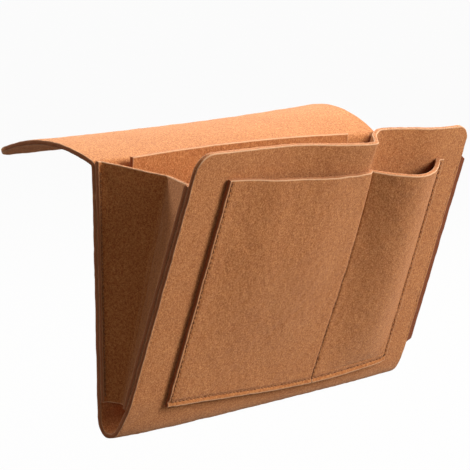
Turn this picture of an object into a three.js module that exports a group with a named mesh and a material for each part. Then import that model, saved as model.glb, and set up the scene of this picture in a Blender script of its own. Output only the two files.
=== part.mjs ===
// Hanging bedside caddy of thick felt. One sheet makes the tuck-in flap, the back panel, the bottom
// bend and the leaning front panel, and two creased gussets, three pockets and eleven rows of stitching
// are sewn to it. Millimetres, +X to the user's right, +Y towards the bed, +Z up.
// Heights are worked out from the lowest point of the bottom bend, and the finished group is then moved
// so that its origin is the middle of the back panel's rear face.

import * as THREE from 'three';

// Felt and sewing
const felt = 3.5;
const gap = 0.3;
const bottomSeamMargin = 4;
const sideSeamMargin = 3;
const threadWidth = 1;
const threadHeight = 0.6;

// Main sheet
const panelWidth = 320;
const backHeight = 202.5;
const bendRadius = 14.7;
const lean = THREE.MathUtils.degToRad(20.6);
const frontLength = 215;
const topNarrowing = 5;
const cornerRadius = 15;

// Tuck-in flap, an arch that is higher at its right end. It folds along a line just behind the rear face.
const flapFoldSetback = 1;
const flapDepth = 107.5;
const archLeft = 11.5;
const archRight = 19.5;
const archGrowth = 2.2;

// Wave in the upper part of the front panel: a crest left of the divider and a hollow right of it
const crestHeight = 12;
const crestOffset = 6;
const crestLeftReach = 100;
const crestRightReach = 16;
const hollowDepth = 9;
const hollowOffset = 24;
const hollowLeftReach = 22;
const hollowRightReach = 66;
const waveFade = 1.5;
// Above driftStart the sheet is drawn to the left at the divider, by dividerDrift from the pockets' mouth up
const driftStart = 80;
const dividerDrift = 10.3;

// Front pockets, set in from the front panel's edges and sewn on slightly askew. Their lower edge sags,
// most to the right of the middle.
const pocketRise = 10.6;
const pocketDrop = 23;
const pocketSlant = 4.6;
const pocketSag = 6;
const sagGrowth = 1.4;
const widePocketInset = 35.5;
const narrowPocketInset = 29;
const narrowPocketWidth = 92;
const widePocketSlack = 7.5;
const widePocketSideRamp = 60;
const widePocketDividerRamp = 70;
const widePocketFootRamp = 120;
const narrowPocketBulge = 19.5;
const bulgeGrowth = 0.6;

// Pocket inside the back panel
const innerPocketLeftInset = 28.7;
const innerPocketRightInset = 48;
const innerPocketRise = 0.5;
const innerPocketDepth = 125;
const innerPocketGape = 6;

// Gussets, creased inwards
const flangeWidth = 8;
const rightFlangeOverhang = 10;
const gussetBottomRise = 11.3;
const gussetRearDrop = 0.7;
const gussetCreaseDrop = 10.3;
const gussetFrontDrop = 25;
const creaseAngle = THREE.MathUtils.degToRad(27);
const creaseSlope = 0.217;
const frontSeamClearance = 3;

// Spacing of the mesh stations on curved sheets
const columnStep = 9;
const rowStep = 24;
const flapSteps = 10;
const bendTurnStep = THREE.MathUtils.degToRad(15);
const cornerTurnStep = THREE.MathUtils.degToRad(22.5);
const edgeTurns = [65, 30].map((turn) => THREE.MathUtils.degToRad(turn));
const tolerance = 1e-6;

// Places worked out from the sizes above
const halfWidth = panelWidth / 2;
const halfFelt = felt / 2;
const backTop = backHeight - felt - gap;
const pocketTop = frontLength - pocketDrop;
const widePocketLeft = widePocketInset - halfWidth;
const narrowPocketRight = halfWidth - narrowPocketInset;
const divider = narrowPocketRight - narrowPocketWidth;
const crestCentre = divider - crestOffset;
const hollowCentre = divider + hollowOffset;
const innerPocketLeft = innerPocketLeftInset - halfWidth;
const innerPocketRight = halfWidth - innerPocketRightInset;
const innerPocketTop = backHeight + innerPocketRise;
const innerPocketBottom = innerPocketTop - innerPocketDepth;
const gussetBottom = bendRadius + gussetBottomRise;
const gussetTopRear = backHeight - gussetRearDrop;
const gussetTopCrease = gussetTopRear - gussetCreaseDrop;
const gussetTopFront = frontLength - gussetFrontDrop;
const feltColour = 0xb07a48;
const threadColour = 0x8a5a30;

const caddy = new THREE.Group();

function addPart(name, geometry, colour = feltColour) {
  const material = new THREE.MeshStandardMaterial({ color: colour, roughness: 0.95, metalness: 0 });
  const mesh = new THREE.Mesh(geometry, material);
  mesh.name = name;
  caddy.add(mesh);
}

// Values from the first key to the last, with every key in the list and no step longer than asked
function stations(keys, step) {
  const values = [keys[0]];
  for (let i = 1; i < keys.length; i += 1) {
    const count = Math.max(1, Math.ceil((keys[i] - keys[i - 1]) / step));
    for (let k = 1; k <= count; k += 1) {
      values.push(keys[i - 1] + ((keys[i] - keys[i - 1]) * k) / count);
    }
  }
  return values;
}

function signedVolume(positions, faces) {
  const a = new THREE.Vector3();
  const b = new THREE.Vector3();
  const c = new THREE.Vector3();
  let volume = 0;
  for (let i = 0; i < faces.length; i += 3) {
    a.fromArray(positions, 3 * faces[i]);
    b.fromArray(positions, 3 * faces[i + 1]);
    c.fromArray(positions, 3 * faces[i + 2]);
    volume += a.dot(b.cross(c)) / 6;
  }
  return volume;
}

// A closed sheet between two faces, each a function of a column and a row
function sheetGeometry(columns, rows, lowerFace, upperFace) {
  const positions = [];
  const faces = [];
  const across = columns.length;
  const along = rows.length;
  for (const face of [lowerFace, upperFace]) {
    for (const row of rows) {
      for (const column of columns) {
        positions.push(...face(column, row).toArray());
      }
    }
  }
  const at = (side, row, column) => side * across * along + row * across + column;
  const quad = (a, b, c, d) => faces.push(a, b, c, a, c, d);
  for (let r = 0; r + 1 < along; r += 1) {
    for (let c = 0; c + 1 < across; c += 1) {
      quad(at(0, r, c), at(0, r + 1, c), at(0, r + 1, c + 1), at(0, r, c + 1));
      quad(at(1, r, c), at(1, r, c + 1), at(1, r + 1, c + 1), at(1, r + 1, c));
    }
    quad(at(0, r, 0), at(1, r, 0), at(1, r + 1, 0), at(0, r + 1, 0));
    quad(at(0, r, across - 1), at(0, r + 1, across - 1), at(1, r + 1, across - 1), at(1, r, across - 1));
  }
  for (let c = 0; c + 1 < across; c += 1) {
    quad(at(0, 0, c), at(0, 0, c + 1), at(1, 0, c + 1), at(1, 0, c));
    quad(at(0, along - 1, c), at(1, along - 1, c), at(1, along - 1, c + 1), at(0, along - 1, c + 1));
  }
  if (signedVolume(positions, faces) < 0) {
    faces.reverse();
  }
  const geometry = new THREE.BufferGeometry();
  geometry.setAttribute('position', new THREE.Float32BufferAttribute(positions, 3));
  geometry.setIndex(faces);
  geometry.computeVertexNormals();
  return geometry;
}

function boxBetween(low, high) {
  const size = high.clone().sub(low);
  const geometry = new THREE.BoxGeometry(size.x, size.y, size.z);
  geometry.translate((low.x + high.x) / 2, (low.y + high.y) / 2, (low.z + high.z) / 2);
  return geometry;
}

// Half thickness of a sheet whose edge is rounded over, at a distance past the edge's centre line
const roundedHalf = (past) => Math.sqrt(halfFelt * halfFelt - past * past);
const edgeRounding = edgeTurns.map((turn) => -halfFelt * Math.sin(turn));

// How far a panel's end is cut back by its rounded corner, at a distance from the panel's middle
function cornerCut(x) {
  const past = Math.abs(x) - (halfWidth - cornerRadius);
  return past > 0 ? cornerRadius - Math.sqrt(Math.max(0, cornerRadius * cornerRadius - past * past)) : 0;
}

function cornerColumns(side) {
  const turns = stations([0, Math.PI / 2], cornerTurnStep);
  const columns = turns.map((turn) => side * (halfWidth - cornerRadius + cornerRadius * Math.sin(turn)));
  return side < 0 ? columns.reverse() : columns;
}

// Bottom bend and the plane of the front panel
const bendCentre = new THREE.Vector3(0, -bendRadius, bendRadius);
const frontOut = new THREE.Vector3(0, -Math.cos(lean), -Math.sin(lean));
const frontUp = new THREE.Vector3(0, -Math.sin(lean), Math.cos(lean));

const clampShare = (value, low, high) => THREE.MathUtils.clamp((value - low) / (high - low), 0, 1);

// How far the sheet is drawn to the left, most at the divider and not at all outside the pockets
function drift(x, up) {
  const fromLeft = clampShare(x, widePocketLeft, divider);
  const fromRight = clampShare(-x, -narrowPocketRight, -divider);
  return dividerDrift * Math.min(fromLeft, fromRight) * clampShare(up, driftStart, pocketTop) ** 2;
}

// A point above the fold by a distance up the flat front panel and outwards from its outer face
function frontPlane(x, up, out) {
  const point = bendCentre.clone().addScaledVector(frontOut, bendRadius + out).addScaledVector(frontUp, up);
  point.x = (x - drift(x, up)) * (1 - ((topNarrowing / halfWidth) * up) / frontLength);
  return point;
}

function swell(x, centre, leftReach, rightReach) {
  const share = (x - centre) / (x < centre ? leftReach : rightReach);
  return Math.abs(share) < 1 ? Math.cos((share * Math.PI) / 2) ** 2 : 0;
}

function wave(x, up) {
  const fade = (Math.max(0, up) / frontLength) ** waveFade;
  const crest = crestHeight * swell(x, crestCentre, crestLeftReach, crestRightReach);
  const hollow = hollowDepth * swell(x, hollowCentre, hollowLeftReach, hollowRightReach);
  return fade * (crest - hollow);
}

const frontFace = (x, up, out) => frontPlane(x, up, out + wave(x, up));

// Shared columns and rows, so that sheets that lie on each other have the same facets
const middleColumns = stations(
  [
    cornerRadius - halfWidth,
    widePocketLeft,
    widePocketLeft + 2 * sideSeamMargin,
    divider - gap / 2,
    divider + gap / 2,
    narrowPocketRight - 2 * sideSeamMargin,
    narrowPocketRight,
    halfWidth - cornerRadius,
  ],
  columnStep,
);
const pocketFoot = pocketRise + 2 * bottomSeamMargin;
const pocketRows = stations([pocketRise, pocketFoot, pocketTop], rowStep);
const columnsFrom = (low, high) => middleColumns.filter((x) => x > low - tolerance && x < high + tolerance);

// Back panel
addPart(
  'back_panel',
  boxBetween(
    new THREE.Vector3(-halfWidth, -felt, bendRadius),
    new THREE.Vector3(halfWidth, 0, backTop),
  ),
);

// Bottom bend, a part turn of felt that stops short of the front fold
const bendStart = gap / bendRadius;
const bendEnd = Math.PI - lean - Math.asin((halfFelt + gap) / (bendRadius - halfFelt));
const bendPoint = (x, turn, radius) =>
  new THREE.Vector3(x, bendCentre.y + radius * Math.cos(turn), bendCentre.z - radius * Math.sin(turn));
const bendTurns = stations([bendStart, bendEnd], bendTurnStep);
addPart(
  'bottom_bend',
  sheetGeometry(
    [-halfWidth, halfWidth],
    bendTurns,
    (x, turn) => bendPoint(x, turn, bendRadius - felt),
    (x, turn) => bendPoint(x, turn, bendRadius),
  ),
);

// Front panel, with its lower edge rounded over at the fold
const frontColumns = [...cornerColumns(-1).slice(0, -1), ...middleColumns, ...cornerColumns(1).slice(1)];
const frontRows = [...edgeRounding, 0, ...pocketRows, frontLength];
// The rows are drawn in at the rounded corners, so that none passes the panel's outline
const frontRow = (x, row) => (row <= 0 ? row : (row * (frontLength - cornerCut(x))) / frontLength);
function frontPanelFace(x, row, side) {
  const half = row < 0 ? roundedHalf(row) : halfFelt;
  return frontFace(x, frontRow(x, row), side * half - halfFelt);
}
addPart(
  'front_panel',
  sheetGeometry(
    frontColumns,
    frontRows,
    (x, row) => frontPanelFace(x, row, -1),
    (x, row) => frontPanelFace(x, row, 1),
  ),
);

// Tuck-in flap
const flapFold = new THREE.Vector3(0, flapFoldSetback, backHeight - halfFelt);
function flapMiddle(x, share) {
  const arch = THREE.MathUtils.lerp(archLeft, archRight, ((x + halfWidth) / panelWidth) ** archGrowth);
  const lift = 4 * arch * share * (1 - share);
  return new THREE.Vector3(x, flapFold.y + (flapDepth - flapFold.y) * share, flapFold.z + lift);
}
function flapFace(x, row, side) {
  const end = 1 - cornerCut(x) / (flapDepth - flapFold.y);
  const share = Math.max(0, row) * end;
  const along = flapMiddle(x, share + tolerance).sub(flapMiddle(x, share - tolerance)).normalize();
  const normal = new THREE.Vector3(0, -along.z, along.y);
  const half = row < 0 ? roundedHalf(row) : halfFelt;
  const point = flapMiddle(x, share).addScaledVector(along, Math.min(0, row));
  return point.addScaledVector(normal, side * half);
}
const flapColumns = [...cornerColumns(-1), -halfWidth / 3, halfWidth / 3, ...cornerColumns(1)];
addPart(
  'tuck_flap',
  sheetGeometry(
    flapColumns,
    [...edgeRounding, ...stations([0, 1], 1 / flapSteps)],
    (x, row) => flapFace(x, row, -1),
    (x, row) => flapFace(x, row, 1),
  ),
);

// Front pockets. The wide one stands off the panel as if filled by something flat, and is held down
// at its sewn edges.
const easeIn = (distance, ramp) => THREE.MathUtils.smoothstep(distance, 0, ramp);
function pocketUp(x, row) {
  const across = clampShare(x, widePocketLeft, narrowPocketRight);
  const sag = pocketSag * Math.sin(Math.PI * across ** sagGrowth) * clampShare(-row, -pocketTop, -pocketRise);
  return row + pocketSlant * (0.5 - across) - sag;
}
function widePocketOut(x, row) {
  const fromSide = easeIn(x - widePocketLeft - 2 * sideSeamMargin, widePocketSideRamp);
  const fromDivider = easeIn(divider - gap / 2 - x, widePocketDividerRamp);
  const fromFoot = easeIn(row - pocketFoot, widePocketFootRamp);
  return gap + widePocketSlack * fromSide * fromDivider * fromFoot;
}
addPart(
  'wide_pocket',
  sheetGeometry(
    columnsFrom(widePocketLeft, divider - gap / 2),
    pocketRows,
    (x, row) => frontFace(x, pocketUp(x, row), widePocketOut(x, row)),
    (x, row) => frontFace(x, pocketUp(x, row), widePocketOut(x, row) + felt),
  ),
);

// The narrow pocket leaves the crest at the divider and bulges out in front of the hollow
function narrowPocketOut(x, row) {
  const across = clampShare(x, divider + gap / 2, narrowPocketRight - 2 * sideSeamMargin);
  const climb = clampShare(row, pocketFoot, pocketTop) ** bulgeGrowth;
  const bulge = narrowPocketBulge * climb * Math.sin(Math.PI * across);
  return gap + wave(divider, pocketUp(x, row)) * (1 - across) + bulge;
}
addPart(
  'narrow_pocket',
  sheetGeometry(
    columnsFrom(divider + gap / 2, narrowPocketRight),
    pocketRows,
    (x, row) => frontPlane(x, pocketUp(x, row), narrowPocketOut(x, row)),
    (x, row) => frontPlane(x, pocketUp(x, row), narrowPocketOut(x, row) + felt),
  ),
);

// Inner pocket, sewn at the bottom and sides and gaping towards its mouth
const innerSeamTop = innerPocketBottom + 2 * bottomSeamMargin;
const innerOut = (height) =>
  gap + innerPocketGape * clampShare(height, innerSeamTop, innerPocketTop) ** 2;
const innerRows = stations([innerPocketBottom, innerSeamTop, innerPocketTop], rowStep);
addPart(
  'inner_pocket',
  sheetGeometry(
    [innerPocketLeft, innerPocketRight],
    innerRows,
    (x, height) => new THREE.Vector3(x, -felt - innerOut(height), height),
    (x, height) => new THREE.Vector3(x, -2 * felt - innerOut(height), height),
  ),
);

// Gussets. Their three fold lines meet at one point below the bend, so each leaf stays flat.
const rearFold = new THREE.Vector3(
  halfWidth - flangeWidth + halfFelt,
  -2 * (felt + gap) - halfFelt,
  0,
);
const frontEdgeIn = 2 * (felt + gap) + frontSeamClearance + halfFelt;
const frontEdgeStart = frontPlane(0, 0, -frontEdgeIn);
const apexBelow = (rearFold.y - frontEdgeStart.y) / frontUp.y;
const apexHeight = frontEdgeStart.z + frontUp.z * apexBelow;
// Folds of the left gusset: its rear fold is upright, its crease leans in and its front edge leans out
const creaseDirection = new THREE.Vector3(
  creaseSlope * Math.sin(creaseAngle),
  -creaseSlope * Math.cos(creaseAngle),
  1,
);
const frontEdgeDirection = new THREE.Vector3(topNarrowing / frontLength, frontUp.y, frontUp.z);
const apex = new THREE.Vector3(-rearFold.x, rearFold.y, apexHeight);
const creasePoint = (height) => apex.clone().addScaledVector(creaseDirection, height - apexHeight);
const frontEdgePoint = (up) => apex.clone().addScaledVector(frontEdgeDirection, up - apexBelow);
const rearPoint = (height) => new THREE.Vector3(apex.x, apex.y, height);
const rearInward = new THREE.Vector3(Math.cos(creaseAngle), Math.sin(creaseAngle), 0);
const frontInward = creaseDirection.clone().cross(frontEdgeDirection).normalize();
if (frontInward.y > 0) {
  frontInward.negate();
}
const gussetBottomUp = (gussetBottom - frontEdgeStart.z) / frontUp.z;
const gussetEnds = {
  bottom: { rear: gussetBottom, crease: gussetBottom, front: gussetBottomUp },
  top: { rear: gussetTopRear, crease: gussetTopCrease, front: gussetTopFront },
};

function rearLeafFace(column, end, side) {
  const from = rearPoint(gussetEnds[end].rear);
  const to = creasePoint(gussetEnds[end].crease);
  const along = to.clone().sub(from).setZ(0).normalize();
  if (column === 'crease') {
    return to.addScaledVector(along, -gap / 2).addScaledVector(rearInward, side > 0 ? felt : 0);
  }
  const half = roundedHalf(column);
  return from.addScaledVector(along, column).addScaledVector(rearInward, side * half);
}

function frontLeafFace(column, end, side) {
  const from = creasePoint(gussetEnds[end].crease);
  const to = frontEdgePoint(gussetEnds[end].front);
  if (column === 'crease') {
    const along = to.sub(from).normalize();
    return from.addScaledVector(along, gap / 2).addScaledVector(frontInward, side > 0 ? felt : 0);
  }
  return to.addScaledVector(frontInward, side * halfFelt);
}

const mirrored = (point, side) => new THREE.Vector3(-side * point.x, point.y, point.z);
const sides = { left: -1, right: 1 };
// The right gusset is sewn on too far out, so its front flange shows past the panel's edge
const flangeEdges = { left: halfWidth, right: halfWidth + rightFlangeOverhang };
for (const [name, side] of Object.entries(sides)) {
  addPart(
    `${name}_gusset_rear_flange`,
    sheetGeometry(
      [side * halfWidth, side * (halfWidth - flangeWidth)],
      [gussetBottom, gussetTopRear],
      (x, height) => new THREE.Vector3(x, -felt - gap, height),
      (x, height) => new THREE.Vector3(x, -2 * felt - gap, height),
    ),
  );
  addPart(
    `${name}_gusset_rear_leaf`,
    sheetGeometry(
      [...edgeRounding, 0, 'crease'],
      ['bottom', 'top'],
      (column, end) => mirrored(rearLeafFace(column, end, -1), side),
      (column, end) => mirrored(rearLeafFace(column, end, 1), side),
    ),
  );
  addPart(
    `${name}_gusset_front_leaf`,
    sheetGeometry(
      ['crease', 'front'],
      ['bottom', 'top'],
      (column, end) => mirrored(frontLeafFace(column, end, -1), side),
      (column, end) => mirrored(frontLeafFace(column, end, 1), side),
    ),
  );
  addPart(
    `${name}_gusset_front_flange`,
    sheetGeometry(
      [side * flangeEdges[name], side * (halfWidth - flangeWidth)],
      [gussetBottomUp, gussetTopFront],
      (x, up) => frontPlane(x, up, -felt - gap),
      (x, up) => frontPlane(x, up, -2 * felt - gap),
    ),
  );
}

// Rows of stitching, each one thread laid along the surface that it is sewn through
function addThread(name, columns, rows, surface) {
  addPart(
    name,
    sheetGeometry(
      columns,
      rows,
      (column, row) => surface(column, row, gap),
      (column, row) => surface(column, row, gap + threadHeight),
    ),
    threadColour,
  );
}
const threadStrip = (middle) => [middle - threadWidth / 2, middle + threadWidth / 2];
const pocketSeamRows = pocketRows.slice(1);
const innerPocketSeams = {
  left: innerPocketLeft + sideSeamMargin,
  right: innerPocketRight - sideSeamMargin,
};

for (const [name, side] of Object.entries(sides)) {
  addThread(
    `${name}_rear_gusset_stitching`,
    threadStrip(side * (halfWidth - sideSeamMargin)),
    [gussetBottom + bottomSeamMargin, gussetTopRear - bottomSeamMargin],
    (x, height, out) => new THREE.Vector3(x, -2 * felt - gap - out, height),
  );
  addThread(
    `${name}_front_gusset_stitching`,
    threadStrip(side * (halfWidth - sideSeamMargin)),
    [gussetBottomUp, gussetTopFront],
    (x, up, out) => frontPlane(x, up, out),
  );
  addThread(
    `${name}_inner_pocket_stitching`,
    threadStrip(innerPocketSeams[name]),
    innerRows.slice(1, -1),
    (x, height, out) => new THREE.Vector3(x, -2 * felt - innerOut(height) - out, height),
  );
}
addThread(
  'inner_pocket_bottom_stitching',
  [innerPocketSeams.left, innerPocketSeams.right],
  threadStrip(innerPocketBottom + bottomSeamMargin),
  (x, height, out) => new THREE.Vector3(x, -2 * felt - gap - out, height),
);
// A place outside whichever front pocket covers the column
function outsidePocket(x, row, out) {
  if (x < divider) {
    return frontFace(x, pocketUp(x, row), widePocketOut(x, row) + felt + out);
  }
  return frontPlane(x, pocketUp(x, row), narrowPocketOut(x, row) + felt + out);
}
const pocketSeams = {
  wide_pocket_side_stitching: widePocketLeft + sideSeamMargin,
  divider_stitching: divider,
  narrow_pocket_side_stitching: narrowPocketRight - sideSeamMargin,
};
for (const [name, middle] of Object.entries(pocketSeams)) {
  addThread(name, threadStrip(middle), pocketSeamRows, outsidePocket);
}
addThread(
  'front_pocket_bottom_stitching',
  columnsFrom(widePocketLeft, narrowPocketRight).slice(1, -1),
  threadStrip(pocketRise + bottomSeamMargin),
  outsidePocket,
);

// The origin is the middle of the back panel's flat rear face
caddy.position.z = -(bendRadius + backTop) / 2;

export default caddy;
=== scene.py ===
import math

import bpy
import numpy as np
from mathutils import Matrix, Vector


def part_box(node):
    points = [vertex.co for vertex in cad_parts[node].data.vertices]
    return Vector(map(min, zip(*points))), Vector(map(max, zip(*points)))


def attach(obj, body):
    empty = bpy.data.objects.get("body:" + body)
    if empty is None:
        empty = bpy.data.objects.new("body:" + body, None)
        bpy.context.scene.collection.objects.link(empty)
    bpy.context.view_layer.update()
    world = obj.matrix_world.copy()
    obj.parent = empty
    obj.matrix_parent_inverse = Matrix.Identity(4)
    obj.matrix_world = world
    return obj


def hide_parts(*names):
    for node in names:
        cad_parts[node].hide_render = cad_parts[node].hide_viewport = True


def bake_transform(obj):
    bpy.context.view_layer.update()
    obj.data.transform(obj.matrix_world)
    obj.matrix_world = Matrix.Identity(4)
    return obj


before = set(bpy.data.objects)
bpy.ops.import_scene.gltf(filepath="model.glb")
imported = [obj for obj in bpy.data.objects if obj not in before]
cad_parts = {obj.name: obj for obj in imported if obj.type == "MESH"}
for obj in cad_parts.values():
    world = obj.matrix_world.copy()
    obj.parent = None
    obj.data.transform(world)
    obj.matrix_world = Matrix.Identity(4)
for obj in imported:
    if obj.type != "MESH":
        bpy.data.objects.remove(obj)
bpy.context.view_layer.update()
mm = 0.001

# Sizes are in mm, and heights count up from the lowest point of the bottom bend
backLow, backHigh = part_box("back_panel")
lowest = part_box("bottom_bend")[0].z
feltThick = (backHigh.y - backLow.y) / mm
halfFelt = feltThick / 2
halfWidth = backHigh.x / mm
bendRadius = (backLow.z - lowest) / mm  # to the outside of the felt
backTop = (backHigh.z - lowest) / mm
layerGap = 0.3  # between two layers that are sewn together
foldTop = backTop + layerGap + feltThick  # top of the fold into the flap


def toRow(points):
    return np.asarray(points) * mm + np.array([0, 0, lowest])


def unit(vectors):
    return vectors / np.maximum(np.linalg.norm(vectors, axis=-1, keepdims=True), 1e-12)


def ease(value):
    share = np.clip(value, 0, 1)
    return share * share * (3 - 2 * share)


def stations(keys, step):
    values = [keys[0]]
    for low, high in zip(keys[:-1], keys[1:]):
        count = max(1, math.ceil((high - low) / step - 1e-9))
        values += [low + (high - low) * k / count for k in range(1, count + 1)]
    return np.array(values)


# Thick felt: a cut edge with softened corners, and a face that is never quite even
feltCut = {
    "cornerRound": 0.75,
    "cornerTurns": (30, 60, 90),
    "lump": 0.10,           # unevenness of the faces
    "lumpLengths": (5, 40),  # shortest and longest swell
    "lumpCount": 40,
    "wobble": 0.09,         # how far a cut edge wanders
    "topCutShade": 0.3,            # top and bottom cut faces take this share of the cut's dark tone; side cuts take all of it, painted shade, as they turn from the light
    "sharpAngle": 55,       # a turn steeper than this is shaded as an edge
    "edgeClear": 0.4,       # no line of the mesh closer than this to a cut edge
    "lineGap": 0.25,        # or than this to the next line
}

lumpSeed = np.random.default_rng(11)
lumpDirections = unit(lumpSeed.normal(size=(feltCut["lumpCount"], 3)))
lumpLengths = np.geomspace(*feltCut["lumpLengths"], feltCut["lumpCount"])
lumpPhases = lumpSeed.uniform(0, 2 * math.pi, (3, feltCut["lumpCount"]))


def lumps(points, layer):
    waves = points @ (lumpDirections * (2 * math.pi / lumpLengths)[:, None]).T + lumpPhases[layer]
    return np.sin(waves).sum(-1) / math.sqrt(feltCut["lumpCount"] / 2)


# One closed sheet of felt from its middle surface. press gives how far stitching draws in the upper and
# the lower face. A side named in butted is cut square, because it meets another stretch of the same sheet.
def feltSheet(name, columns, rows, place, press=None, butted=()):
    u, v = np.meshgrid(columns, rows, indexing="ij")
    middle = place(u, v)
    normal = unit(np.cross(np.gradient(middle, axis=0), np.gradient(middle, axis=1)))
    pressUpper, pressLower = press(u, v) if press else (0 * u, 0 * u)
    upperHalf = halfFelt - pressUpper + feltCut["lump"] * lumps(middle, 0)
    lowerHalf = halfFelt - pressLower + feltCut["lump"] * lumps(middle, 1)
    nu, nv = u.shape
    grid = np.arange(nu * nv).reshape(nu, nv)
    sides = {
        "rowStart": grid[:-1, 0],
        "columnEnd": grid[-1, :-1],
        "rowEnd": grid[:0:-1, -1],
        "columnStart": grid[0, :0:-1],
    }
    loop = np.concatenate(list(sides.values()))
    square = np.concatenate([np.full(len(edge), side in butted) for side, edge in sides.items()])
    # Painted shade: side cut faces get the full dark cut tone, top and bottom cuts only a lighter share
    cutShade = np.concatenate([
        np.full(len(edge), 1.0 if side in ("columnStart", "columnEnd") else feltCut["topCutShade"])
        for side, edge in sides.items()])
    flat = middle.reshape(-1, 3)
    loopNormal = normal.reshape(-1, 3)[loop]
    edgeOut = unit(np.cross(np.roll(flat[loop], -1, 0) - flat[loop], loopNormal))
    before, after = np.roll(edgeOut, 1, 0), edgeOut
    squareBefore = np.roll(square, 1)
    before = np.where((squareBefore & ~square)[:, None], after, before)
    after = np.where((square & ~squareBefore)[:, None], before, after)
    out = unit(before + after)
    out /= np.maximum((out * before).sum(-1, keepdims=True), 0.5)  # keeps square corners square
    out[square & squareBefore] = 0
    wander = feltCut["wobble"] * lumps(flat[loop], 2)[:, None] * out
    inset = feltCut["cornerRound"] * out
    upper = (middle + normal * upperHalf[..., None]).reshape(-1, 3)
    lower = (middle - normal * lowerHalf[..., None]).reshape(-1, 3)
    upper[loop] += wander - inset
    lower[loop] += wander - inset
    rings, corner = [], []
    for side, edge in ((1, upper), (-1, lower)):
        turned = []
        for turn in np.radians(feltCut["cornerTurns"]):
            sink = feltCut["cornerRound"] * (1 - math.cos(turn))
            turned.append(edge[loop] + inset * math.sin(turn) - side * sink * loopNormal)
        shares = [math.sin(2 * math.radians(turn)) for turn in feltCut["cornerTurns"]]
        rings += turned if side > 0 else turned[::-1]
        corner += shares if side > 0 else shares[::-1]
    points = np.concatenate([upper, lower] + rings)
    count, rim = nu * nv, len(loop)
    a, b, c, d = grid[:-1, :-1], grid[1:, :-1], grid[1:, 1:], grid[:-1, 1:]
    faces = [np.stack([a, b, c, d], -1).reshape(-1, 4), count + np.stack([d, c, b, a], -1).reshape(-1, 4)]
    levels = [loop] + [2 * count + k * rim + np.arange(rim) for k in range(len(rings))] + [count + loop]
    for high, low in zip(levels[:-1], levels[1:]):
        faces.append(np.stack([high, low, np.roll(low, -1), np.roll(high, -1)], -1))
    mesh = bpy.data.meshes.new(name)
    mesh.from_pydata(toRow(points).tolist(), [], np.concatenate(faces).tolist())
    mesh.polygons.foreach_set("use_smooth", np.ones(len(mesh.polygons), bool))
    mesh.set_sharp_from_angle(angle=math.radians(feltCut["sharpAngle"]))
    marks = {
        "column": np.concatenate([u.ravel(), u.ravel()] + [u.ravel()[loop]] * len(rings)),
        "corner": np.concatenate([np.zeros(2 * count), np.repeat(corner, rim)]),
        "cut": np.concatenate([np.zeros(2 * count), np.tile(cutShade, len(rings))]),
    }
    # the corner mark carries each rounded cut corner's paler fibres and its painted highlight
    rounded = 1.0 - (square & squareBefore)
    marks["corner"][loop] = marks["corner"][count + loop] = 0.5 * rounded
    marks["corner"][2 * count:] *= np.tile(rounded, len(rings))
    for mark, values in marks.items():
        mesh.attributes.new(mark, "FLOAT", "POINT").data.foreach_set("value", values.astype(np.float32))
    sheet = bpy.data.objects.new(name, mesh)
    bpy.context.collection.objects.link(sheet)
    sheet.data.materials.append(felt)
    return sheet


# Lockstitch: each stitch dives into the felt at both ends and draws the face in round its holes
seam = {
    "pitch": 4.0,
    "share": 0.86,        # of the pitch that shows as thread
    "threadRadius": 0.42,
    "grooveDepth": 0.45,
    "pitDepth": 0.55,
    "grooveWidth": 1.25,
    "crown": 0.05,        # thread's centre below the drawn-in face
    "dive": 0.75,
    "rings": 7,
    "sides": 6,
    "sideMargin": 3,
    "rearMargin": 2.2,    # the gussets' rear rows keep clear of the fold beside them
    "bottomMargin": 4,
    "fine": (0.6, 1.3, 2.2),  # extra mesh lines beside a row of stitches
    "closedDepth": 0.42,      # rows that the nap closes over lie this much deeper
    "closedGroove": 0.3,      # and draw the face in by this share
}


def groove(across, along, start):
    hollow = np.exp(-((across / seam["grooveWidth"]) ** 2))
    pits = np.cos(math.pi * (along - start) / seam["pitch"]) ** 2
    return hollow * (seam["grooveDepth"] + seam["pitDepth"] * pits)


def within(value, low, high):
    return ease((value - low) / 2 + 0.5) * ease((high - value) / 2 + 0.5)


def seamLines(middle):
    return [middle + side * step for step in seam["fine"] for side in (-1, 1)] + [middle]


# Each run is (start, end, place), and place gives points for a way along the row and a height off the felt
def stitchRow(name, node, body, runs, deeper=0):
    t = np.linspace(0, 1, seam["rings"])
    turns = np.linspace(0, 2 * math.pi, seam["sides"], endpoint=False)
    points, faces = [], []
    for start, end, place in runs:
        count = int((end - start) / seam["pitch"] + 1e-6)
        lead = (1 - seam["share"]) / 2
        along = start + seam["pitch"] * (np.arange(count)[:, None] + lead + seam["share"] * t[None, :])
        sink = seam["grooveDepth"] + seam["crown"] + deeper + seam["dive"] * (2 * t - 1) ** 4
        height = np.broadcast_to(seam["threadRadius"] - sink, along.shape)
        line = place(along, height)
        rise = unit(place(along, height + 1) - line)
        tangent = unit(np.gradient(line, axis=1))
        beside = unit(np.cross(tangent, rise))
        ring = beside[:, :, None] * np.cos(turns)[:, None] + rise[:, :, None] * np.sin(turns)[:, None]
        tube = line[:, :, None] + seam["threadRadius"] * ring
        first = sum(len(p) for p in points)
        points.append(tube.reshape(-1, 3))
        index = first + np.arange(tube[..., 0].size).reshape(tube.shape[:3])
        turned = np.roll(index, -1, 2)
        quads = np.stack([index[:, :-1], turned[:, :-1], turned[:, 1:], index[:, 1:]], -1)
        faces += quads.reshape(-1, 4).tolist()
        faces += index[:, 0, ::-1].tolist() + index[:, -1].tolist()
    mesh = bpy.data.meshes.new(name)
    mesh.from_pydata(toRow(np.concatenate(points)).tolist(), [], faces)
    mesh.polygons.foreach_set("use_smooth", np.ones(len(mesh.polygons), bool))
    row = bpy.data.objects.new(name, mesh)
    bpy.context.collection.objects.link(row)
    row.data.materials.append(thread)
    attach(row, body)
    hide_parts(node)


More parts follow.
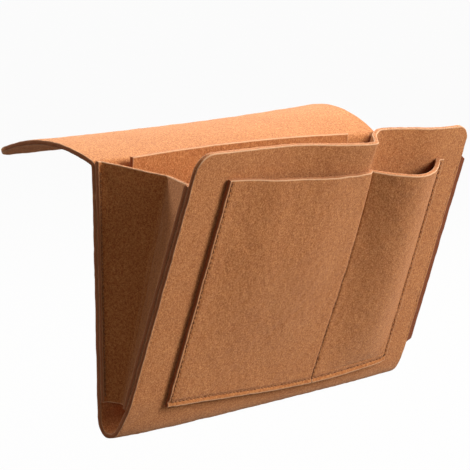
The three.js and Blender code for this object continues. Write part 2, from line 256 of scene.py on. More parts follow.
# Materials
def toLinear(hexColour):
    channels = [int(hexColour[i:i + 2], 16) / 255 for i in (1, 3, 5)]
    return [c / 12.92 if c <= 0.04045 else ((c + 0.055) / 1.055) ** 2.4 for c in channels] + [1]


def addNode(tree, kind, values=None, links=None, **settings):
    node = tree.nodes.new(kind)
    for key, value in settings.items():
        setattr(node, key, value)
    for socket, value in (values or {}).items():
        node.inputs[socket].default_value = value
    for socket, source in (links or {}).items():
        tree.links.new(source, node.inputs[socket])
    return node


def newMaterial(name):
    made = bpy.data.materials.new(name)
    made.use_nodes = True
    return made, made.node_tree, made.node_tree.nodes["Principled BSDF"]


# Pressed polyester felt: matted fibres with no weave. The eye sees a dry, mottled face with fine pale and
# dark flecks, a soft glow where light grazes the fuzz, and a pale line along every cut corner: paler fibres
# plus a painted highlight.
feltLook = {
    "dark": "#884619",
    "mid": "#AC6A38",
    "pale": "#CC8E56",
    "fuzz": "#E6BC94",
    "cut": "#7A3812",
    "glow": "#FFE2C6",      # light caught by fibres that stand up
    "mottle": 1.5,          # mm across one blotch
    "fleck": 0.8,           # coarser than real fibres, so that it shows
    "cloud": 38,
    "mottleShare": 0.45,    # the three patterns are added up in these shares
    "fleckShare": 0.49,
    "cloudShare": 0.06,
    "darkAt": 0.37,
    "midAt": 0.5,
    "paleAt": 0.65,
    "frayAndHighlight": 0.85,           # share of pale fuzz on a cut corner, partly paler fibres and partly painted highlight
    "cutShare": 0.72,       # share of the darker tone on a cut face: the cut's own tone plus painted shade
    "bumpBlotch": 0.6,      # how much the blotches stand up beside the flecks
    "bumpStrength": 0.85,
    "bumpDepth": 0.5,
    "roughness": 0.95,
    "specular": 0.15,
    "sheen": 0.22,
    "sheenRoughness": 0.6,
}
felt, tree, shader = newMaterial("pressedFeltTan")
where = addNode(tree, "ShaderNodeTexCoord").outputs["Object"]
mottle = addNode(tree, "ShaderNodeTexNoise",
                 {"Scale": 1 / (feltLook["mottle"] * mm), "Detail": 3, "Roughness": 0.6}, {"Vector": where})
fleck = addNode(tree, "ShaderNodeTexNoise",
                {"Scale": 1 / (feltLook["fleck"] * mm), "Detail": 2, "Roughness": 0.7}, {"Vector": where})
cloud = addNode(tree, "ShaderNodeTexNoise",
                {"Scale": 1 / (feltLook["cloud"] * mm), "Detail": 2}, {"Vector": where})
mixed = addNode(tree, "ShaderNodeMath", {1: feltLook["mottleShare"]}, {0: mottle.outputs["Fac"]},
                operation="MULTIPLY")
for pattern, share in ((fleck, feltLook["fleckShare"]), (cloud, feltLook["cloudShare"])):
    mixed = addNode(tree, "ShaderNodeMath", {1: share}, {0: pattern.outputs["Fac"], 2: mixed.outputs[0]},
                    operation="MULTIPLY_ADD")
fibres = addNode(tree, "ShaderNodeValToRGB", links={"Fac": mixed.outputs[0]})
fibres.color_ramp.elements[0].position = feltLook["darkAt"]
fibres.color_ramp.elements[0].color = toLinear(feltLook["dark"])
fibres.color_ramp.elements[1].position = feltLook["paleAt"]
fibres.color_ramp.elements[1].color = toLinear(feltLook["pale"])
fibres.color_ramp.elements.new(feltLook["midAt"]).color = toLinear(feltLook["mid"])
# Painted highlight: the corner mark lightens every cut corner the way a lit corner looks, besides its paler
# fibres
cornerMark = addNode(tree, "ShaderNodeAttribute", attribute_name="corner")
cornerHighlight = addNode(tree, "ShaderNodeMath", {1: feltLook["frayAndHighlight"]}, {0: cornerMark.outputs["Fac"]},
                 operation="MULTIPLY")
highlightedEdge = addNode(tree, "ShaderNodeMix", {7: toLinear(feltLook["fuzz"])},
                {0: cornerHighlight.outputs[0], 6: fibres.outputs["Color"]}, data_type="RGBA")
# the cut mark darkens cut faces: their own tone, with painted shade on the side cuts
cutShadeMark = addNode(tree, "ShaderNodeAttribute", attribute_name="cut")
cutToneAndShade = addNode(tree, "ShaderNodeMath", {1: feltLook["cutShare"]}, {0: cutShadeMark.outputs["Fac"]},
                  operation="MULTIPLY")
cutFaceAndShade = addNode(tree, "ShaderNodeMix", {7: toLinear(feltLook["cut"])},
                  {0: cutToneAndShade.outputs[0], 6: highlightedEdge.outputs[2]}, data_type="RGBA")
tree.links.new(cutFaceAndShade.outputs[2], shader.inputs["Base Color"])
rough = addNode(tree, "ShaderNodeMath", {1: feltLook["bumpBlotch"]},
                {0: mottle.outputs["Fac"], 2: fleck.outputs["Fac"]}, operation="MULTIPLY_ADD")
bump = addNode(tree, "ShaderNodeBump",
               {"Strength": feltLook["bumpStrength"], "Distance": feltLook["bumpDepth"] * mm},
               {"Height": rough.outputs[0]})
tree.links.new(bump.outputs["Normal"], shader.inputs["Normal"])
shader.inputs["Roughness"].default_value = feltLook["roughness"]
shader.inputs["Specular IOR Level"].default_value = feltLook["specular"]
shader.inputs["Sheen Weight"].default_value = feltLook["sheen"]
shader.inputs["Sheen Roughness"].default_value = feltLook["sheenRoughness"]
shader.inputs["Sheen Tint"].default_value = toLinear(feltLook["glow"])

# Twisted polyester sewing thread: a fine diagonal twist, darker than the felt because it lies in its groove
threadLook = {
    "dark": "#7A4A26",
    "light": "#A8703F",
    "twist": 2.639,         # mm for one turn, coarser than real so that it shows
    "waver": 1.5,           # how unevenly the plies run
    "bumpStrength": 0.5,
    "bumpDepth": 0.1,
    "roughness": 0.7,
}
waveTurn = 2 * math.pi / 10  # length of one wave of the texture at a scale of 1
thread, tree, shader = newMaterial("twistedThreadBrown")
where = addNode(tree, "ShaderNodeTexCoord").outputs["Object"]
twist = addNode(tree, "ShaderNodeTexWave",
                {"Scale": waveTurn / (threadLook["twist"] * mm), "Distortion": threadLook["waver"]},
                {"Vector": where}, bands_direction="DIAGONAL")
plies = addNode(tree, "ShaderNodeValToRGB", links={"Fac": twist.outputs["Fac"]})
plies.color_ramp.elements[0].color = toLinear(threadLook["dark"])
plies.color_ramp.elements[1].color = toLinear(threadLook["light"])
tree.links.new(plies.outputs["Color"], shader.inputs["Base Color"])
bump = addNode(tree, "ShaderNodeBump",
               {"Strength": threadLook["bumpStrength"], "Distance": threadLook["bumpDepth"] * mm},
               {"Height": twist.outputs["Fac"]})
tree.links.new(bump.outputs["Normal"], shader.inputs["Normal"])
shader.inputs["Roughness"].default_value = threadLook["roughness"]
print("materials: felt and thread")


# Front of the main sheet: a leaning panel with a crest left of the divider and a hollow right of it
pockets = {
    "rise": 10.6,          # lower edge above the front fold
    "drop": 23,            # mouth below the panel's top
    "slant": 4.6,          # sewn on askew, lower towards the right
    "sag": 6,              # of the lower edge, most to the right of the middle
    "sagGrowth": 1.4,
    "wideInset": 35.5,
    "narrowInset": 29,
    "narrowWidth": 92,
    "wideSlack": 7.5,
    "wideSideRamp": 60,
    "wideDividerRamp": 70,
    "wideFootRamp": 120,
    "narrowBulge": 19.5,
    "bulgeGrowth": 0.6,
    "bulgeSkew": 0.9,      # lower down the bulge leans right, so that flank is steeper
    "bottomFlare": 1.1,    # the margin below the bottom seam stands out
    "flareFade": 10,       # from the sides
    "meshStep": 1.0,
    "lineGap": 0.3,        # between two rows of the mesh
}
front = {
    "lean": math.radians(20.6),
    "length": 215,
    "narrowing": 5,
    "cornerRadius": 15,
    "cornerPoints": 10,
    "crestHeight": 12,
    "crestOffset": 6,
    "crestReach": (100, 16),
    "hollowDepth": 9,
    "hollowOffset": 24,
    "hollowReach": (22, 66),
    "waveFade": 1.5,
    "driftStart": 80,      # above this the sheet is drawn to the left at the divider
    "dividerDrift": 10.3,  # at the pockets' mouth
    "columnStep": 3.2,
    "fineStep": 1.8,       # columns at the crest and the hollow
    "fineReach": (20, 50),  # left and right of the divider
    "rowStep": 3.2,
    "stitchStep": 1.0,
}
frontOut = np.array([0, -math.cos(front["lean"]), -math.sin(front["lean"])])
frontUp = np.array([0, -math.sin(front["lean"]), math.cos(front["lean"])])
bendCentre = np.array([0, -bendRadius, bendRadius])
pocketTop = front["length"] - pockets["drop"]
bottomRowUp = pockets["rise"] + seam["bottomMargin"]
pocketFoot = bottomRowUp + seam["bottomMargin"]
wideLeft = pockets["wideInset"] - halfWidth
narrowRight = halfWidth - pockets["narrowInset"]
divider = narrowRight - pockets["narrowWidth"]


def drift(x, up):
    fromLeft = (x - wideLeft) / (divider - wideLeft)
    fromRight = (narrowRight - x) / (narrowRight - divider)
    near = np.clip(np.minimum(fromLeft, fromRight), 0, 1)
    climb = np.clip((up - front["driftStart"]) / (pocketTop - front["driftStart"]), 0, 1)
    return front["dividerDrift"] * near * climb ** 2


def frontPlane(x, up, out):
    x, up, out = np.broadcast_arrays(np.asarray(x, float), np.asarray(up, float), np.asarray(out, float))
    points = bendCentre + (bendRadius + out)[..., None] * frontOut + up[..., None] * frontUp
    points[..., 0] = (x - drift(x, up)) * (1 - front["narrowing"] / halfWidth * up / front["length"])
    return points


def pocketUp(x, row):
    across = np.clip((x - wideLeft) / (narrowRight - wideLeft), 0, 1)
    low = np.clip((pocketTop - row) / (pocketTop - pockets["rise"]), 0, 1)
    sag = pockets["sag"] * np.sin(math.pi * across ** pockets["sagGrowth"]) * low
    return row + pockets["slant"] * (0.5 - across) - sag


def swell(x, centre, reach):
    share = (x - centre) / np.where(x < centre, *reach)
    return np.where(np.abs(share) < 1, np.cos(np.clip(share, -1, 1) * math.pi / 2) ** 2, 0)


def wave(x, up):
    fade = (np.clip(up, 0, None) / front["length"]) ** front["waveFade"]
    crest = front["crestHeight"] * swell(x, divider - front["crestOffset"], front["crestReach"])
    hollow = front["hollowDepth"] * swell(x, divider + front["hollowOffset"], front["hollowReach"])
    return fade * (crest - hollow)


def cornerCut(x):
    past = np.clip(np.abs(x) - (halfWidth - front["cornerRadius"]), 0, front["cornerRadius"])
    return front["cornerRadius"] - np.sqrt(front["cornerRadius"] ** 2 - past ** 2)


cornerTurns = np.radians(np.linspace(0, 90, front["cornerPoints"]))
cornerColumns = halfWidth - front["cornerRadius"] * (1 - np.sin(cornerTurns))
sideSeam = halfWidth - seam["sideMargin"]
rearSeam = halfWidth - seam["rearMargin"]
sideLines = [x for x in seamLines(sideSeam) if x < halfWidth - feltCut["edgeClear"]]
rightColumns = np.unique(np.round(np.concatenate([cornerColumns, sideLines]), 3))
rightColumns = rightColumns[np.concatenate([[True], np.diff(rightColumns) > feltCut["lineGap"]])]
rightColumns[-1] = halfWidth
fineLeft, fineRight = divider - front["fineReach"][0], divider + front["fineReach"][1]
middleColumns = np.concatenate([
    stations([-rightColumns[0], fineLeft], front["columnStep"])[:-1],
    stations([fineLeft, fineRight], front["fineStep"])[:-1],
    stations([fineRight, rightColumns[0]], front["columnStep"]),
])
sheetColumns = np.concatenate([-rightColumns[::-1], middleColumns[1:-1], rightColumns])

# Lower stretch of the main sheet: back panel, bottom bend and front panel in one piece
backSeamHeight = 176  # where it meets the upper stretch, under the flap
backRun = backSeamHeight - bendRadius
# Bottom bend, along the felt's middle: a quarter turn at the back, a short flat, and a crisp corner into
# the front panel. The corner is pulled back at the left side, where the gusset ends, hardly at the right, and
# sags between.
bend = {
    "lowY": -10,
    "sideCorner": -19,
    "middleCorner": -23.7,
    "rightPull": 0.1,
    "frontUp": 20,         # where the front panel is straight again
    "sharpness": 0.9,
    "sag": 1.5,
    "run": 56,
    "backShare": 0.3,      # of the run, in the turn at the back
    "rowStep": 2.2,
}
bendRun = bend["run"]
lowerRun = backRun + bendRun + front["length"] - bend["frontUp"]


def bendPoint(x, share):
    middle = 1 - np.abs(x / halfWidth) ** 4
    turn = np.clip(share / bend["backShare"], 0, 1) * math.pi / 2
    out = np.clip((share - bend["backShare"]) / (1 - bend["backShare"]), 0, 1)
    bendTo = frontPlane(x, bend["frontUp"], wave(x, bend["frontUp"]) - halfFelt)[..., 1:]
    pull = (1 - middle) * np.where(x < 0, 1, bend["rightPull"])
    cornerY = bend["middleCorner"] + (bend["sideCorner"] - bend["middleCorner"]) * pull
    low = np.stack([0 * x + bend["lowY"], 0 * x + halfFelt], -1)
    corner = np.stack([cornerY, 0 * x + halfFelt], -1)
    pulls = low + bend["sharpness"] * (corner - low), bendTo + bend["sharpness"] * (corner - bendTo)
    t = out[..., None]
    forward = (low * (1 - t) ** 3 + 3 * pulls[0] * t * (1 - t) ** 2
               + 3 * pulls[1] * t ** 2 * (1 - t) + bendTo * t ** 3)
    behind = np.stack([bend["lowY"] - (bend["lowY"] + halfFelt) * np.cos(turn),
                       bendRadius - (bendRadius - halfFelt) * np.sin(turn)], -1)
    line = np.where((share < bend["backShare"])[..., None], behind, forward)
    line[..., 1] -= bend["sag"] * middle * np.sin(math.pi * share) ** 2
    return line


# Where the gussets end, which the main sheet's seams need too
gussetEnds = {
    "bottomUp": 11.3,      # above the turn at the back
    "frontDrop": 25,       # below the front panel's top
    "rearDrop": 0.7,       # below the fold into the flap
    "frontGap": 3,         # between the front leaf and its flange in the solids
}
gussetBottom = bendRadius + gussetEnds["bottomUp"]
gussetFrontTop = front["length"] - gussetEnds["frontDrop"]
gussetRearTop = foldTop - gussetEnds["rearDrop"]
frontEdgeIn = 2 * (feltThick + layerGap) + gussetEnds["frontGap"] + halfFelt  # behind the panel's face
gussetBottomUp = (gussetBottom - frontPlane(0, 0, -frontEdgeIn)[2]) / frontUp[2]
frontSeamLow = max(gussetBottomUp, bend["frontUp"])  # no stitches where the panel turns into the bend


def lowerPlace(x, s):
    line = bendPoint(x, np.clip((s - backRun) / bendRun, 0, 1))
    narrowed = frontPlane(x, bend["frontUp"] * np.clip((s - backRun) / bendRun, 0, 1) ** 2, 0)[..., 0]
    points = np.stack([narrowed, line[..., 0], line[..., 1] + np.clip(backRun - s, 0, None)], -1)
    panel = front["length"] - bend["frontUp"]
    up = bend["frontUp"] + np.clip(s - backRun - bendRun, 0, None) * (panel - cornerCut(x)) / panel
    return np.where((s > backRun + bendRun)[..., None], frontPlane(x, up, wave(x, up) - halfFelt), points)


def lowerPress(x, s):
    up = bend["frontUp"] + s - backRun - bendRun
    height = bendRadius + backRun - s
    frontRow = groove(np.abs(x) - sideSeam, up, frontSeamLow) * within(up, frontSeamLow, gussetFrontTop)
    rearRow = groove(np.abs(x) - rearSeam, height, gussetBottom + seam["bottomMargin"])
    rearRow = rearRow * within(height, gussetBottom + seam["bottomMargin"], backSeamHeight)
    outer = seam["closedGroove"] * frontRow + rearRow
    return outer, 0 * outer


lowerRows = np.concatenate([
    stations([0, backRun], front["rowStep"])[:-1],
    stations([backRun, backRun + bendRun], bend["rowStep"])[:-1],
    stations([backRun + bendRun, lowerRun], front["stitchStep"]),
])
lowerSheet = feltSheet("mainSheetLower", sheetColumns, lowerRows, lowerPlace, lowerPress,
                       butted=("rowStart",))
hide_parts("back_panel", "bottom_bend", "front_panel")
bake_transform(lowerSheet)
print("main sheet, lower stretch: %d faces" % len(lowerSheet.data.polygons))

# Upper stretch of the main sheet: top of the back panel, the fold and the tuck-in flap
flap = {
    "foldSetback": 1,
    "depth": 107.5,
    "archLeft": 11.5,
    "archRight": 19.5,
    "archGrowth": 2.2,
    "foldStart": 4.5,   # below the fold's middle line
    "rowStep": 3.0,
    "foldSteps": 6,
    "climbSteps": 5,
}
flapFoldY = flap["foldSetback"]
flapFoldZ = foldTop - halfFelt
flapRun = flap["depth"] - flapFoldY


def flapArch(x):
    share = np.clip((x + halfWidth) / (2 * halfWidth), 0, 1)
    return flap["archLeft"] + (flap["archRight"] - flap["archLeft"]) * share ** flap["archGrowth"]


def upperPlace(x, row):
    # rows below 0 climb the back panel, 0 to 1 turn over the fold, 1 to 2 run out along the flap
    arch = flapArch(x)
    foldLow = flapFoldZ - flap["foldStart"]
    slope = 4 * arch / flapRun
    turnPoint = flapFoldZ - slope * (flapFoldY + halfFelt)
    share = np.clip(row, 0, 1)
    foldY = -halfFelt * (1 - share ** 2) + flapFoldY * share ** 2
    foldZ = foldLow * (1 - share) ** 2 + 2 * turnPoint * share * (1 - share) + flapFoldZ * share ** 2
    out = np.clip(row - 1, 0, 1) * (1 - cornerCut(x) / flapRun)
    outZ = 4 * arch * out * (1 - out)
    climb = np.clip(row, None, 0)
    return np.stack([x, foldY + flapRun * out, foldZ + outZ + climb * (foldLow - backSeamHeight)], -1)


upperRows = np.concatenate([
    stations([-1, 0], 1 / flap["climbSteps"])[:-1],
    stations([0, 1], 1 / flap["foldSteps"])[:-1],
    stations([1, 2], flap["rowStep"] / flapRun),
])
upperSheet = feltSheet("mainSheetUpper", sheetColumns, upperRows, upperPlace, butted=("rowStart",))
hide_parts("tuck_flap")
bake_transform(upperSheet)
print("main sheet, upper stretch: %d faces" % len(upperSheet.data.polygons))


# Wide front pocket, held off the panel as if something flat were in it
def bottomFlare(x, row):
    fade = ease((x - wideLeft) / pockets["flareFade"]) * ease((narrowRight - x) / pockets["flareFade"])
    return pockets["bottomFlare"] * fade * ease(1 - (row - pockets["rise"]) / seam["bottomMargin"])


def wideOut(x, row):
    fromSide = ease((x - wideLeft - 2 * seam["sideMargin"]) / pockets["wideSideRamp"])
    fromDivider = ease((divider - layerGap / 2 - x) / pockets["wideDividerRamp"])
    fromFoot = ease((row - pocketFoot) / pockets["wideFootRamp"])
    return layerGap + pockets["wideSlack"] * fromSide * fromDivider * fromFoot + bottomFlare(x, row)


def widePlace(x, row):
    up = pocketUp(x, row)
    return frontPlane(x, up, wave(x, up) + wideOut(x, row) + halfFelt)


def pocketPress(seamX):
    def press(x, up):
        upright = [groove(x - line, up, bottomRowUp) * within(up, bottomRowUp, pocketTop)
                   for line in (seamX, divider)]
        bottom = groove(up - bottomRowUp, x, wideLeft)
        outer = np.maximum(np.maximum(*upright), bottom)
        return outer, 0 * outer
    return press


pocketRows = np.unique(np.round(np.concatenate([
    stations([pockets["rise"], pocketFoot], pockets["meshStep"]),
    seamLines(bottomRowUp),
    stations([pocketFoot, pocketTop], pockets["meshStep"])]), 2))
pocketRows = pocketRows[np.concatenate([[True], np.diff(pocketRows) > pockets["lineGap"]])]
wideSeam = wideLeft + seam["sideMargin"]
wideColumns = np.unique(np.round(np.concatenate([
    stations([wideLeft, divider - layerGap / 2], pockets["meshStep"]), [wideSeam]]), 2))
widePocket = feltSheet("widePocket", wideColumns, pocketRows, widePlace, pocketPress(wideSeam))
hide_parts("wide_pocket")
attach(widePocket, "front")


# Narrow front pocket, leaving the crest at the divider and bulging in front of the hollow
def narrowOut(x, row):
    across = np.clip((x - divider - layerGap / 2) / (narrowRight - 2 * seam["sideMargin"] - divider), 0, 1)
    climb = np.clip((row - pocketFoot) / (pocketTop - pocketFoot), 0, 1) ** pockets["bulgeGrowth"]
    skew = 1 + pockets["bulgeSkew"] * (1 - climb)
    bulge = pockets["narrowBulge"] * climb * np.sin(math.pi * across ** skew)
    return layerGap + wave(divider, pocketUp(x, row)) * (1 - across) + bulge + bottomFlare(x, row)


def narrowPlace(x, row):
    return frontPlane(x, pocketUp(x, row), narrowOut(x, row) + halfFelt)


narrowSeam = narrowRight - seam["sideMargin"]
narrowColumns = np.unique(np.round(np.concatenate([
    stations([divider + layerGap / 2, narrowRight], pockets["meshStep"]), [narrowSeam]]), 2))
narrowPocket = feltSheet("narrowPocket", narrowColumns, pocketRows, narrowPlace, pocketPress(narrowSeam))
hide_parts("narrow_pocket")
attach(narrowPocket, "front")
print("front pockets: %d and %d faces" % (len(widePocket.data.polygons), len(narrowPocket.data.polygons)))

# Inner pocket on the back panel, gaping towards its mouth
inner = {
    "leftInset": 28.7,
    "rightInset": 48,
    "rise": 0.5,
    "depth": 125,
    "gape": 6,
    "crown": 2.8,          # the mouth is pulled up in its middle
    "seamDrop": 22,        # the side seams end below the mouth
    "rowStep": 1.0,
    "columnStep": 1.4,
}
innerLeft = inner["leftInset"] - halfWidth
innerRight = halfWidth - inner["rightInset"]
innerTop = foldTop + inner["rise"]
innerBottom = innerTop - inner["depth"]
innerFoot = innerBottom + 2 * seam["bottomMargin"]
innerSeams = {"left": innerLeft + seam["sideMargin"], "right": innerRight - seam["sideMargin"]}
innerSeamTop = innerTop - inner["seamDrop"]


def innerOut(z):
    return layerGap + inner["gape"] * np.clip((z - innerFoot) / (innerTop - innerFoot), 0, 1) ** 2


def innerPlace(x, z):
    across = (2 * x - innerLeft - innerRight) / (innerRight - innerLeft)
    climb = np.clip((z - innerFoot) / (innerTop - innerFoot), 0, 1)
    lift = inner["crown"] * (1 - across ** 2) * climb ** 2
    return np.stack([x, -feltThick - innerOut(z) - halfFelt, z + lift], -1)


def innerPress(x, z):
    sides = [groove(x - line, z, innerFoot) * within(z, innerFoot, innerSeamTop)
             for line in innerSeams.values()]
    bottom = groove(z - innerBottom - seam["bottomMargin"], x, innerSeams["left"])
    outer = np.maximum(np.maximum(*sides), bottom * within(x, *innerSeams.values()))
    return outer, 0 * outer


innerRows = stations([innerBottom, innerFoot, innerTop], inner["rowStep"])
innerColumns = stations([innerLeft, *innerSeams.values(), innerRight], inner["columnStep"])
innerPocket = feltSheet("innerPocket", innerColumns, innerRows, innerPlace, innerPress)
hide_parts("inner_pocket")
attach(innerPocket, "back")
print("inner pocket: %d faces" % len(innerPocket.data.polygons))

# Gussets: one strip of felt each, folded at its rear seam, its crease and its front seam
gusset = {
    "flange": 8,
    "rightOverhang": 10,
    "trim": 0.035,       # share of the height over which the overhang is cut away at each end
    "paintedShadeMargin": 1.6,   # painted shade: the overhang's margin takes the dark cut tone, more strongly than a cut face does
    "marginFlare": 1.2,  # it also springs forward of its seam
    "creaseAngle": math.radians(27),
    "creaseSlope": 0.232,
    "creaseTop": 191.5,
    "creaseDrop": 1.5,   # of the crease's lower end below the gusset's
    "foldEase": 3.2,     # how far from a corner the felt starts to turn
    "easeShare": 0.4,    # or this share of a run too short for that
    "pastFold": 0.05,    # the second half of a turn counts as this much of the next run
    "leafPoints": 24,
    "flangePoints": 8,
    "foldPoints": 8,
    "bow": 1.2,
}
layerBack = feltThick + layerGap + halfFelt  # middle of a flange from the face that it is sewn to
foldX = -halfWidth + gusset["flange"] - halfFelt
foldY = -2 * (feltThick + layerGap) - halfFelt
apexBelow = (foldY - frontPlane(0, 0, -frontEdgeIn)[1]) / frontUp[1]
apexHeight = frontPlane(0, 0, -frontEdgeIn)[2] + frontUp[2] * apexBelow
leafWay = np.array([math.sin(gusset["creaseAngle"]), -math.cos(gusset["creaseAngle"])])
rearCornerX = foldX - (-layerBack - foldY) * math.tan(gusset["creaseAngle"])


def creasePoint(z):
    leaf = gusset["creaseSlope"] * (z - apexHeight)
    return np.array([foldX + leaf * leafWay[0] + halfFelt, foldY + leaf * leafWay[1], z])


def easeLength(run):
    return min(gusset["foldEase"], gusset["easeShare"] * run)


# Straight runs joined by eased corners, with the same number of points at the bottom and at the top. share
# counts the corners passed: 1 at the rear fold, 2 at the crease, 3 at the front fold, 4 at the front edge.
def turned(corners):
    points, share = [], []
    lastRun = len(corners) - 2
    for k in range(len(corners) - 1):
        a, b = corners[k], corners[k + 1]
        run = np.linalg.norm(b - a)
        low = easeLength(run) / run if k > 0 else 0
        high = 1 - (easeLength(run) / run if k < lastRun else 0)
        count = gusset["leafPoints"] if 0 < k < lastRun else gusset["flangePoints"]
        for t in np.linspace(low, high, count):
            points.append(a + (b - a) * t)
            share.append(k + t)
        if k < lastRun:
            c = corners[k + 2]
            nextRun = np.linalg.norm(c - b)
            start = a + (b - a) * high
            end = b + (c - b) * easeLength(nextRun) / nextRun
            for t in np.linspace(0, 1, gusset["foldPoints"])[1:-1]:
                points.append(start * (1 - t) ** 2 + 2 * b * t * (1 - t) + end * t ** 2)
                before, past = k + high + (1 - high) * 2 * t, k + 1 + (2 * t - 1) * gusset["pastFold"]
                share.append(before if t < 0.5 else past)
    return np.array(points), np.array(share)


def gussetCorners(rearZ, creaseZ, frontUpWay, edge):
    crease = creasePoint(creaseZ)
    return [
        np.array([-halfWidth, -layerBack, rearZ]),
        np.array([rearCornerX, -layerBack, rearZ]),
        crease,
        frontPlane(rearCornerX, frontUpWay, -layerBack),
        frontPlane(-edge, frontUpWay, -layerBack),
    ]


def makeGusset(side, sign, edge):
    creaseBottom = gussetBottom - gusset["creaseDrop"]
    bottomLine, share = turned(gussetCorners(gussetBottom, creaseBottom, gussetBottomUp, edge))
    topLine, _ = turned(gussetCorners(gussetRearTop, gusset["creaseTop"], gussetFrontTop, edge))
    columns = np.arange(len(share))
    rows = stations([0, 1], 1 / (gussetRearTop - gussetBottom))
    leafShare = np.clip(share - 1, 0, 2)
    bowWay = gusset["bow"] * np.sin(math.pi * (leafShare % 1)) * (leafShare > 0) * (leafShare < 2)

    def place(u, v):
        at = np.round(u).astype(int)
        points = bottomLine[at] * (1 - v)[..., None] + topLine[at] * v[..., None]
        points[..., 0] += bowWay[at] * np.sin(math.pi * v)
        trimmed = np.clip(1 - np.minimum(v, 1 - v) / gusset["trim"], 0, 1)
        loose = np.clip((np.abs(bottomLine[at, 0]) - halfWidth) / gusset["rightOverhang"], 0, 1)
        loose = loose ** 2 * (share[at] > 3) * (1 - trimmed)
        points[..., 0] += (edge - halfWidth) * trimmed * np.clip(share[at] - 3, 0, 1)
        points += gusset["marginFlare"] * loose[..., None] * frontOut
        points[..., 0] *= -sign
        return points

    def press(u, v):
        at = np.round(u).astype(int)
        x = np.abs(bottomLine[at, 0])
        z = gussetBottom + v * (gussetRearTop - gussetBottom)
        row = groove(x - rearSeam, z, gussetBottom + seam["bottomMargin"]) * (share[at] < 1)
        face = row * within(z, gussetBottom + seam["bottomMargin"], gussetRearTop - seam["bottomMargin"])
        return (0 * face, face) if sign > 0 else (face, 0 * face)

    piece = feltSheet(side + "Gusset", columns, rows, place, press)
    mesh = piece.data
    column = np.zeros(len(mesh.vertices), np.float32)
    mesh.attributes["column"].data.foreach_get("value", column)
    folded = np.zeros(3 * len(mesh.vertices), np.float32)
    mesh.vertices.foreach_get("co", folded)
    cutAndShadeMarks = np.zeros(len(mesh.vertices), np.float32)
    mesh.attributes["cut"].data.foreach_get("value", cutAndShadeMarks)
    # painted shade on the overhang strip beside the front panel's edge
    at = np.round(column).astype(int)
    past = np.clip(np.abs(bottomLine[at, 0]) - halfWidth, 0, 1) * (share[at] > 3)
    cutAndShadeMarks = np.maximum(cutAndShadeMarks, gusset["paintedShadeMargin"] * past)
    mesh.attributes["cut"].data.foreach_set("value", cutAndShadeMarks.astype(np.float32))
    # the strip is laid flat, each point at its share of the way from the rear fold to the front fold, while
    # its transform is baked, and then it is folded again
    spread = np.zeros((len(column), 3), np.float32)
    spread[:, 0] = np.clip((share[at] - 1) / 2, 0, 1)
    mesh.vertices.foreach_set("co", spread.ravel())
    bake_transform(piece)
    mesh.vertices.foreach_set("co", folded)
    mesh.update()
    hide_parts(*("%s_gusset_%s" % (side, part)
                         for part in ("rear_flange", "rear_leaf", "front_leaf", "front_flange")))
    return piece


leftGusset = makeGusset("left", -1, halfWidth)
makeGusset("right", 1, halfWidth + gusset["rightOverhang"])
print("gussets: %d faces each" % len(leftGusset.data.polygons))

# Stitching, each row on the faces where its thread shows
for side, sign in (("left", -1), ("right", 1)):
    x, xRear = sign * sideSeam, sign * rearSeam
    low = gussetBottom + seam["bottomMargin"]
    high = gussetRearTop - seam["bottomMargin"]
    stitchRow(side + "RearSeam", side + "_rear_gusset_stitching", "back", [
        (low, high, lambda s, h, x=xRear: np.stack([0 * s + x, -2 * feltThick - layerGap - h, s], -1)),
        (low, backSeamHeight, lambda s, h, x=xRear: np.stack([0 * s + x, h, s], -1)),
    ])
    stitchRow(side + "FrontSeam", side + "_front_gusset_stitching", "front", [
        (frontSeamLow, gussetFrontTop, lambda s, h, x=x: frontPlane(0 * s + x, s, h)),
    ], deeper=seam["closedDepth"])
    xIn = innerSeams[side]
    stitchRow(side + "InnerSeam", side + "_inner_pocket_stitching", "back", [
        (innerFoot, innerSeamTop,
         lambda s, h, x=xIn: np.stack([0 * s + x, -2 * feltThick - innerOut(s) - h, s], -1)),
    ])
innerRowZ = innerBottom + seam["bottomMargin"]
stitchRow("innerBottomSeam", "inner_pocket_bottom_stitching", "back", [
    (*innerSeams.values(), lambda s, h: np.stack([s, -2 * feltThick - layerGap - h, 0 * s + innerRowZ], -1)),
])
stitchRow("wideSideSeam", "wide_pocket_side_stitching", "front", [
    (bottomRowUp, pocketTop,
     lambda s, h: frontPlane(0 * s + wideSeam, pocketUp(wideSeam, s), layerGap + feltThick + h)),
])
stitchRow("dividerSeam", "divider_stitching", "front", [
    (bottomRowUp, pocketTop,
     lambda s, h: frontPlane(0 * s + divider, pocketUp(divider, s),
                             wave(divider, pocketUp(divider, s)) + layerGap + feltThick + h)),
])
stitchRow("narrowSideSeam", "narrow_pocket_side_stitching", "front", [
    (bottomRowUp, pocketTop,
     lambda s, h: frontPlane(0 * s + narrowSeam, pocketUp(narrowSeam, s), layerGap + feltThick + h)),
])


def bottomRowPlace(s, h):
    up = pocketUp(s, bottomRowUp)
    out = np.where(s < divider, wave(s, up) + wideOut(s, bottomRowUp), narrowOut(s, bottomRowUp))
    return frontPlane(s, up, feltThick + h + out)


stitchRow("pocketBottomSeam", "front_pocket_bottom_stitching", "front", [
    (wideSeam, narrowSeam, bottomRowPlace),
])
print("stitching: done")

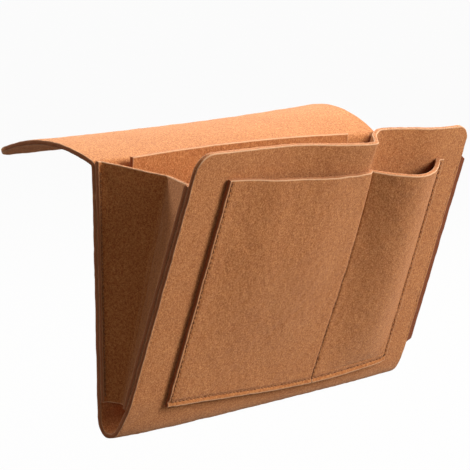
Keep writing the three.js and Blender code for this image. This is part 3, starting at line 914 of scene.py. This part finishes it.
# Floor and light
studio = {
    "floorDrop": 0.12,
    "floorSize": 60,
    "floorColour": "#6A6866",
    "floorRoughness": 0.9,
    "floorWhite": 0.93,        # the rest is the shaded paper, which keeps the shadow
    "floorGlow": 1.03,
    "worldColour": "#FFEEDD",  # a warm white, which the shaded sides show most
    "worldStrength": 0.28,
    "keyPower": 76,
    "keyPlace": (1.4, 0.25, 1.6),
    "keySize": 1.0,
    "fillPower": 70,
    "fillPlace": (1.15, -1.85, 1.0),
    "fillSize": 1.2,
    "rimPower": 31,            # from behind and above, on the upper part of the gusset
    "rimPlace": (-0.35, 1.8, 1.3),
    "rimSize": 0.5,
}
white = (1, 1, 1, 1)


# Rays that show the background itself: the camera's, and those that a gloss or glass passes on
def backgroundRays(tree):
    path = addNode(tree, "ShaderNodeLightPath")
    rays = path.outputs["Is Camera Ray"]
    for kind in ("Is Glossy Ray", "Is Transmission Ray"):
        total = addNode(tree, "ShaderNodeMath", links={0: rays, 1: path.outputs[kind]}, operation="ADD",
                        use_clamp=True)
        rays = total.outputs[0]
    return rays


floorMesh = bpy.data.meshes.new("floor")
reach, floorZ = studio["floorSize"] / 2, lowest - studio["floorDrop"]
floorCorners = [(x * reach, y * reach, floorZ) for x, y in ((-1, -1), (1, -1), (1, 1), (-1, 1))]
floorMesh.from_pydata(floorCorners, [], [(0, 1, 2, 3)])
floor = bpy.data.objects.new("floor", floorMesh)
bpy.context.collection.objects.link(floor)
# Matt white paper, so bright to the camera that only a soft shadow is left on it
paper, tree, shader = newMaterial("mattWhitePaper")
shader.inputs["Base Color"].default_value = toLinear(studio["floorColour"])
shader.inputs["Roughness"].default_value = studio["floorRoughness"]
amount = addNode(tree, "ShaderNodeMath", {1: studio["floorWhite"]}, {0: backgroundRays(tree)},
                 operation="MULTIPLY")
glow = addNode(tree, "ShaderNodeEmission", {"Color": white, "Strength": studio["floorGlow"]})
both = addNode(tree, "ShaderNodeMixShader",
               links={0: amount.outputs[0], 1: shader.outputs[0], 2: glow.outputs[0]})
tree.links.new(both.outputs[0], tree.nodes["Material Output"].inputs["Surface"])
floor.data.materials.append(paper)

world = bpy.data.worlds.new("studio")
bpy.context.scene.world = world
world.use_nodes = True
tree = world.node_tree
tree.nodes.clear()
soft = addNode(tree, "ShaderNodeBackground",
               {"Color": toLinear(studio["worldColour"]), "Strength": studio["worldStrength"]})
plain = addNode(tree, "ShaderNodeBackground", {"Color": white, "Strength": 1.0})
both = addNode(tree, "ShaderNodeMixShader",
               links={0: backgroundRays(tree), 1: soft.outputs[0], 2: plain.outputs[0]})
addNode(tree, "ShaderNodeOutputWorld", links={"Surface": both.outputs[0]})

for name in ("key", "fill", "rim"):
    data = bpy.data.lights.new(name, "AREA")
    data.energy = studio[name + "Power"]
    data.size = studio[name + "Size"]
    lamp = bpy.data.objects.new(name, data)
    bpy.context.collection.objects.link(lamp)
    lamp.location = studio[name + "Place"]
    lamp.rotation_euler = (-Vector(studio[name + "Place"])).to_track_quat("-Z", "Y").to_euler()
print("floor and light: done")

# Camera, fitted to the photograph's straight edges
shot = {
    "azimuth": math.radians(-47),
    "elevation": math.radians(7.6),
    "roll": math.radians(-0.8),
    "distance": 1503,
    "target": (-53, -40, 140),
    "lens": 154.5,
    "sensor": 36,
}
az, el, roll = shot["azimuth"], shot["elevation"], shot["roll"]
back = Vector((math.sin(az) * math.cos(el), -math.cos(az) * math.cos(el), math.sin(el)))
right = Vector((math.cos(az), math.sin(az), 0))
upward = back.cross(right)
across = math.cos(roll) * right + math.sin(roll) * upward
above = back.cross(across)
eye = Vector(toRow(shot["target"])) + back * shot["distance"] * mm
cameraData = bpy.data.cameras.new("camera")
cameraData.lens = shot["lens"]
cameraData.sensor_width = shot["sensor"]
camera = bpy.data.objects.new("camera", cameraData)
bpy.context.collection.objects.link(camera)
camera.matrix_world = Matrix((
    (across.x, above.x, back.x, eye.x),
    (across.y, above.y, back.y, eye.y),
    (across.z, above.z, back.z, eye.z),
    (0, 0, 0, 1),
))
bpy.context.scene.camera = camera
bpy.context.scene.view_settings.view_transform = "Standard"
print("camera: done")
